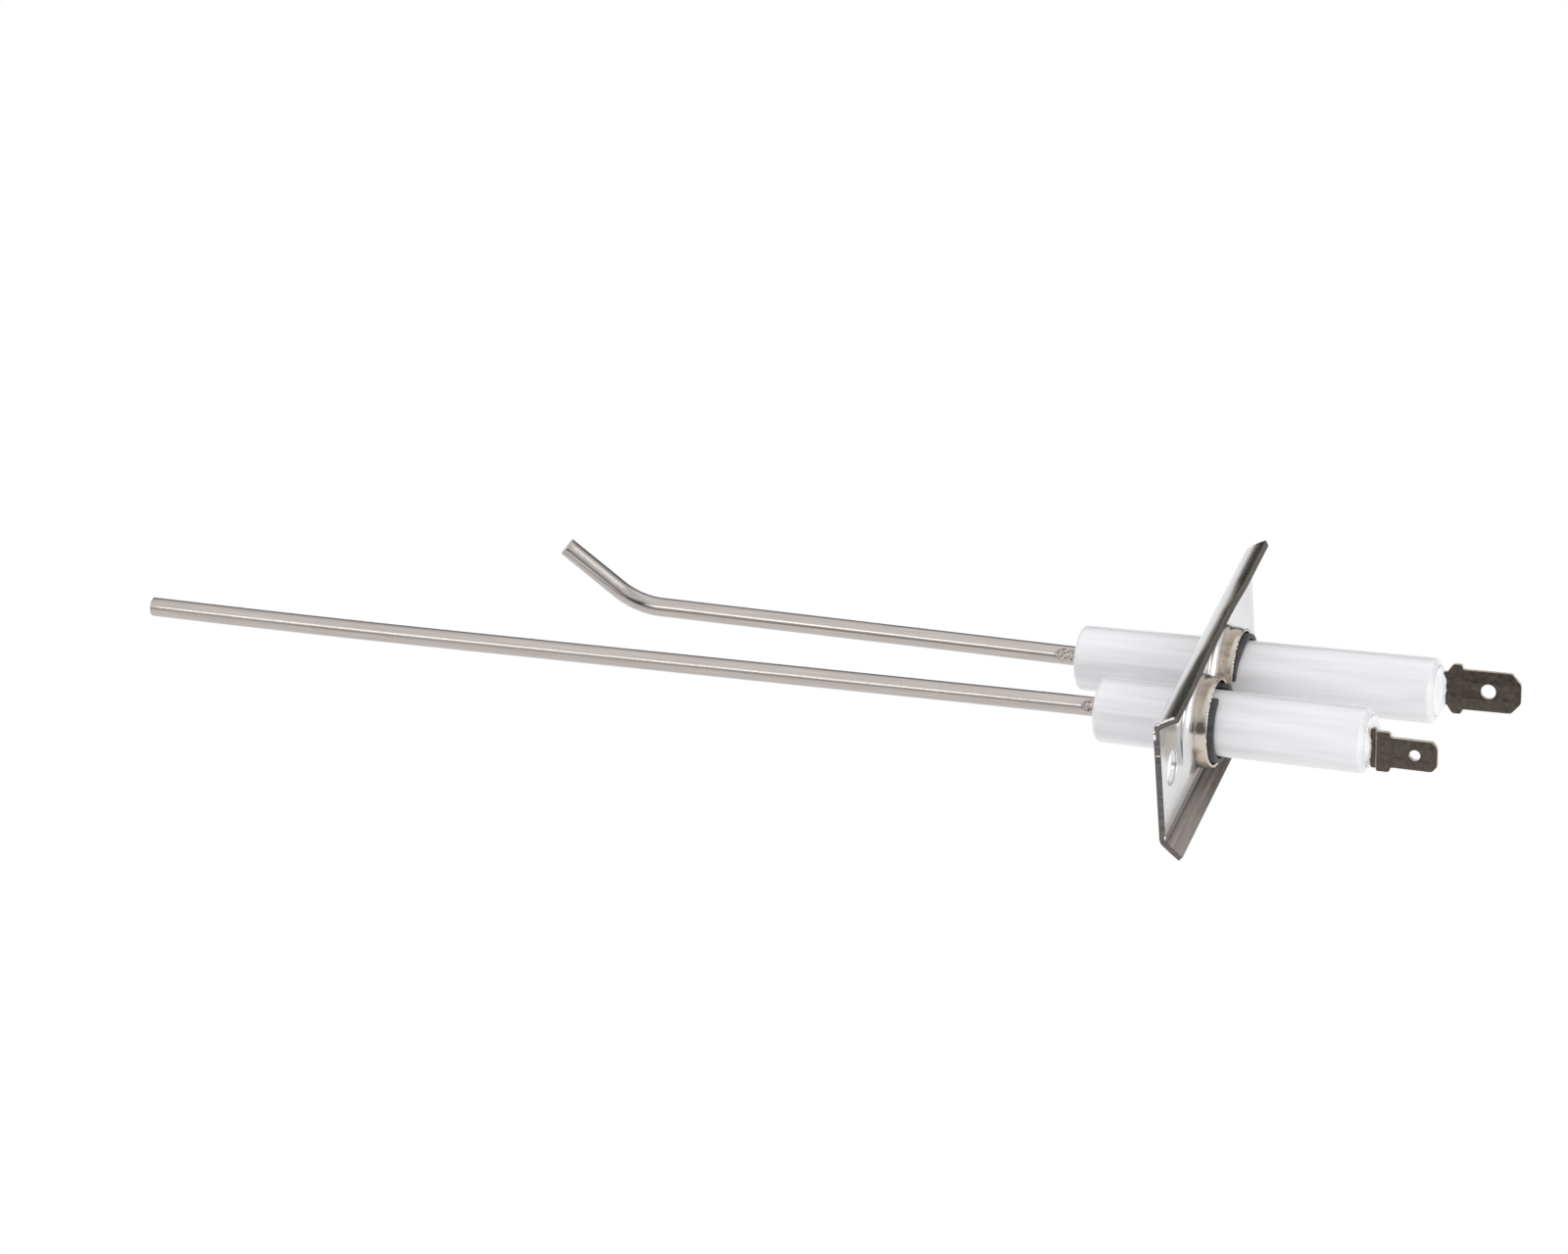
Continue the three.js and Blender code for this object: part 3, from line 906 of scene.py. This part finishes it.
def nickel_look():
    """Bright plate, warmer on the collars; the lower flange carries a streaked painted dark
    reflection and a painted band of shade across its lower bend.
    """
    look = Look("nickel_plate", Metallic=1.0)
    flange_z = (-(PLATE_HALF_HEIGHT - 0.1), -(PLATE_HALF_HEIGHT - 0.8))
    collar_x = (1.4, 2.6)
    painted_shade_band_z = ((-10.7, -9.9), (-9.4, -8.6))    # the painted band of shade comes and goes across the lower bend

    tint = look.noise((90, 90, 90), 4)
    streaks = look.noise((1300, 45, 1300), 5, 0.7)
    neutral = look.tones(tint, (0.655, 0.655, 0.66), (0.76, 0.765, 0.78))
    warm = look.tones(tint, (0.53, 0.47, 0.40), (0.69, 0.64, 0.58))
    # painted reflection: a darker streaked tone on the lower flange stands in for the dark
    # surroundings that it mirrors
    streaked_reflection_paint = look.tones(streaks, (0.30, 0.266, 0.240), (0.51, 0.462, 0.425))
    # painted shade: a near-black streaked tone for the band across the lower bend
    band_shade_paint = look.tones(streaks, (0.10, 0.095, 0.09), (0.20, 0.185, 0.175))

    drawn = look.along("X", collar_x, (0.0, 1.0))
    flange = look.along("Z", flange_z, (1.0, 0.0))
    # where the painted band of shade lies, across the lower bend
    painted_shade_band = look.combine("MULTIPLY", [
        look.along("Z", painted_shade_band_z[0], (0.0, 0.85)),
        look.along("Z", painted_shade_band_z[1], (1.0, 0.0)),
    ])
    # the lower flange gets the painted dark reflection, and the painted band of shade goes over it
    clean = look.mix(flange, look.mix(drawn, neutral, warm), streaked_reflection_paint)
    look.set("Base Color", look.mix(painted_shade_band, clean, band_shade_paint))
    look.set("Roughness", look.combine("ADD", [
        look.between(streaks, 0.12, 0.24),
        look.along("Z", flange_z, (0.14, 0.0)),
    ]))
    dents = look.bump(look.noise((160, 160, 160), 2), 0.05, 0.0004)
    look.set("Normal", look.bump(streaks, 0.35, 0.00005, dents))
    return look.material


def cut_look(name, low, high):
    """Sheared steel, with drag lines through the sheet."""
    look = Look(name, Metallic=0.9)
    drag = look.noise((500, 500, 1600), 4, 0.7)
    look.set("Base Color", look.tones(drag, low, high))
    look.set("Roughness", look.between(drag, 0.3, 0.5))
    look.set("Normal", look.bump(drag, 0.5, 0.00008))
    return look.material


def alumina_look():
    """Glossy white ceramic with faint lengthwise streaks, pinkish and bluish."""
    look = Look("glazed_alumina", IOR=1.6)
    cloud = look.noise((30, 420, 420), 4, 0.6)
    look.set("Base Color", look.ramp(cloud, [
        (0.34, (0.735, 0.715, 0.745)),
        (0.50, (0.80, 0.79, 0.805)),
        (0.66, (0.855, 0.86, 0.885)),
    ]))
    streaks = look.noise((22, 700, 700), 3, 0.6)
    look.set("Roughness", look.between(streaks, 0.10, 0.26))
    look.set("Normal", look.bump(streaks, 0.16, 0.0001))
    return look.material


def rod_look(spec):
    """Drawn wire: fine grain along its length. The sensor's wire is a little coarser."""
    coarse = spec["name"] == "sensor"
    pit_scale = (1700, 2600, 2600) if coarse else (700, 2600, 2600)
    pit_depth = 0.14 if coarse else 0.08
    roughness = (0.19, 0.28) if coarse else (0.15, 0.22)
    look = Look(f"{spec['name']}_drawn_steel", Metallic=1.0)
    grain = look.noise((70, 2400, 2400), 4, 0.7)
    pits = look.noise(pit_scale, 3, 0.65)
    look.set("Base Color", look.tones(grain, (0.43, 0.400, 0.378), (0.54, 0.505, 0.48)))
    look.set("Roughness", look.between(pits, *roughness))
    normal = look.bump(grain, 0.14, 0.00002)
    look.set("Normal", look.bump(pits, pit_depth, 0.00002, normal))
    return look.material


def sleeve_look():
    """Dark, finely mottled spring steel."""
    look = Look("dark_spring_steel", Metallic=0.6)
    mottle = look.noise((700, 700, 700), 4)
    look.set("Base Color", look.tones(mottle, (0.055, 0.055, 0.055), (0.12, 0.12, 0.12)))
    look.set("Roughness", look.between(mottle, 0.45, 0.7))
    look.set("Normal", look.bump(mottle, 0.4, 0.00008))
    return look.material


def terminal_look():
    """Dull brown-grey sheet, mottled all over."""
    look = Look("dull_tinned_sheet", Metallic=1.0)
    mottle = look.noise((1100, 1100, 1100), 5, 0.75)
    look.set("Base Color", look.tones(mottle, (0.060, 0.050, 0.043), (0.145, 0.125, 0.11)))
    look.set("Roughness", look.between(mottle, 0.3, 0.5))
    look.set("Normal", look.bump(mottle, 0.4, 0.00006))
    return look.material


def terminal_edge_look():
    """The brighter sheared edges of the tabs and their holes."""
    look = Look("tinned_edge", Metallic=0.6)
    drag = look.noise((400, 1800, 1800), 4, 0.7)
    look.set("Base Color", look.tones(drag, (0.56, 0.49, 0.40), (0.82, 0.74, 0.63)))
    look.set("Roughness", look.between(drag, 0.2, 0.4))
    look.set("Normal", look.bump(drag, 0.35, 0.00005))
    return look.material


def cement_look():
    """Matt white, with a fine grain."""
    look = Look("ceramic_cement")
    grain = look.noise((1500, 1500, 1500), 5, 0.7)
    look.set("Base Color", look.tones(grain, (0.83, 0.825, 0.83), (0.92, 0.92, 0.925)))
    look.set("Roughness", look.between(grain, 0.8, 0.95))
    look.set("Normal", look.bump(grain, 0.25, 0.00008))
    return look.material


# ---------- studio ----------

def camera_frame():
    """The camera's right, up and backward directions."""
    azimuth, elevation = math.radians(CAMERA_AZIMUTH), math.radians(CAMERA_ELEVATION)
    back = Vector((math.sin(azimuth) * math.cos(elevation),
                   -math.cos(azimuth) * math.cos(elevation), math.sin(elevation)))
    right = Vector((math.cos(azimuth), math.sin(azimuth), 0))
    up = back.cross(right)
    roll = math.radians(CAMERA_ROLL)
    rolled_right = right * math.cos(roll) + up * math.sin(roll)
    rolled_up = up * math.cos(roll) - right * math.sin(roll)
    return rolled_right, rolled_up, back


def make_camera():
    right, up, back = camera_frame()
    data = bpy.data.cameras.new("camera")
    data.lens = CAMERA_LENS
    data.sensor_width = 36
    data.clip_start = 0.05
    data.clip_end = 20
    camera = bpy.data.objects.new("camera", data)
    bpy.context.scene.collection.objects.link(camera)
    turn = Matrix((right, up, back)).transposed().to_4x4()
    camera.matrix_world = Matrix.Translation(Vector(CAMERA_AIM) + back * CAMERA_DISTANCE) @ turn
    bpy.context.scene.camera = camera


def area_light(name, place, size, radiance):
    """A soft box facing the object; its radiance is what a mirror would show of it."""
    data = bpy.data.lights.new(name, "AREA")
    data.shape = "RECTANGLE"
    data.size, data.size_y = size
    data.energy = radiance * math.pi * size[0] * size[1]
    light = bpy.data.objects.new(name, data)
    bpy.context.scene.collection.objects.link(light)
    light.location = place
    light.rotation_euler = (-Vector(place)).to_track_quat("-Z", "Y").to_euler()


def make_world():
    """A dim room, bright overhead, with soft fills in front and beside and softly dark corners.

    Every part of it is a product of steps along the axes of the direction looked in.
    """
    world = bpy.data.worlds.new("studio")
    world.use_nodes = True
    tree = world.node_tree
    direction = tree.nodes.new("ShaderNodeTexCoord").outputs["Generated"]

    def shade(axis, limits, shades):
        return axis_shade(tree, direction, axis, limits, shades)

    dome = shade("Z", (0.1, 0.75), (0.05, 0.90))
    left_fill = combine(tree, "MULTIPLY", [
        shade("Y", (-0.9, -0.3), (0.44, 0.0)),
        shade("X", (-0.30, 0.0), (1.0, 0.0)),
    ])
    right_fill = combine(tree, "MULTIPLY", [
        shade("X", (0.06, 0.18), (0.0, 0.36)),
        shade("Y", (-0.6, -0.35), (1.0, 0.0)),
        shade("Z", (0.45, 0.65), (1.0, 0.0)),
    ])
    sides = combine(tree, "MULTIPLY", [
        combine(tree, "ADD", [
            shade("X", (-0.85, -0.60), (0.5, 0.0)),
            shade("X", (0.55, 0.75), (0.0, 0.9)),
        ]),
        shade("Y", (0.0, 0.4), (1.0, 0.0)),
    ])
    dark_front = combine(tree, "MULTIPLY", [
        shade("Y", (-0.5, -0.1), (0.50, 0.0)),
        shade("X", (-0.22, -0.05), (0.0, 1.0)),
        shade("X", (0.06, 0.18), (1.0, 0.0)),
        shade("Z", (0.55, 0.85), (1.0, 0.0)),
    ])
    dark_corner = combine(tree, "MULTIPLY", [
        shade("Y", (0.3, 0.6), (0.0, 0.12)),
        shade("X", (0.2, 0.45), (0.0, 1.0)),
        shade("Z", (0.5, 0.8), (1.0, 0.0)),
    ])
    dark_back = combine(tree, "MULTIPLY", [
        shade("Y", (0.5, 0.7), (0.0, 0.35)),
        shade("X", (-0.50, -0.38), (1.0, 0.0)),
        shade("Z", (0.35, 0.60), (1.0, 0.0)),
    ])
    bright = combine(tree, "ADD", [dome, left_fill, right_fill, sides])
    lit = combine(tree, "SUBTRACT", [bright, dark_front, dark_corner, dark_back])
    least = shade("Z", (0, 1), (0.05, 0.06))
    background = tree.nodes["Background"]
    background.inputs["Color"].default_value = (0.99, 0.99, 1.0, 1)
    tree.links.new(combine(tree, "MAXIMUM", [lit, least]), background.inputs["Strength"])
    bpy.context.scene.world = world


def make_floor():
    """A plain white floor, evenly bright to the camera and to reflections alike."""
    reach, clearance = 3.0, 0.2 * MM
    depth = cad_box[0][2] - clearance
    mesh = bpy.data.meshes.new("floor")
    mesh.from_pydata([(-reach, -reach, depth), (reach, -reach, depth), (reach, reach, depth),
                      (-reach, reach, depth)], [], [(0, 1, 2, 3)])
    material = bpy.data.materials.new("pale_floor")
    material.use_nodes = True
    tree = material.node_tree
    tree.nodes.clear()
    white = tree.nodes.new("ShaderNodeEmission")
    output = tree.nodes.new("ShaderNodeOutputMaterial")
    tree.links.new(white.outputs["Emission"], output.inputs["Surface"])
    mesh.materials.append(material)
    floor = bpy.data.objects.new("floor", mesh)
    bpy.context.scene.collection.objects.link(floor)


def make_studio():
    """Soft boxes over, in front, right and left, then the world and the floor."""
    area_light("overhead_box", (-0.20, 0.10, 0.80), (1.2, 0.7), 0.22)
    area_light("front_strip", (-0.40, -0.80, 0.49), (0.44, 0.17), 2.1)
    area_light("right_box", (0.85, -0.38, 0.36), (0.6, 0.5), 2.4)
    area_light("left_box", (-0.90, -0.25, 0.40), (0.6, 0.5), 0.9)
    make_world()
    make_floor()
    bpy.context.scene.view_settings.view_transform = "Standard"


make_camera()
make_studio()
make_bracket(nickel_look(),
             cut_end=cut_look("sheared_end", (0.075, 0.068, 0.066), (0.21, 0.19, 0.18)),
             burred=cut_look("fresh_burr", (0.80, 0.78, 0.75), (0.97, 0.96, 0.94)),
             cut_edge=cut_look("sheared_edge", (0.05, 0.042, 0.036), (0.17, 0.15, 0.13)))
ALUMINA, SLEEVE, CEMENT = alumina_look(), sleeve_look(), cement_look()
TERMINAL, TERMINAL_EDGE = terminal_look(), terminal_edge_look()
for electrode in (SENSOR, SPARK):
    make_insulator(electrode, ALUMINA)
    make_rod(electrode, rod_look(electrode))
    make_sleeve(electrode, SLEEVE)
    make_terminal(electrode, TERMINAL, TERMINAL_EDGE)
    make_cement(electrode, CEMENT)
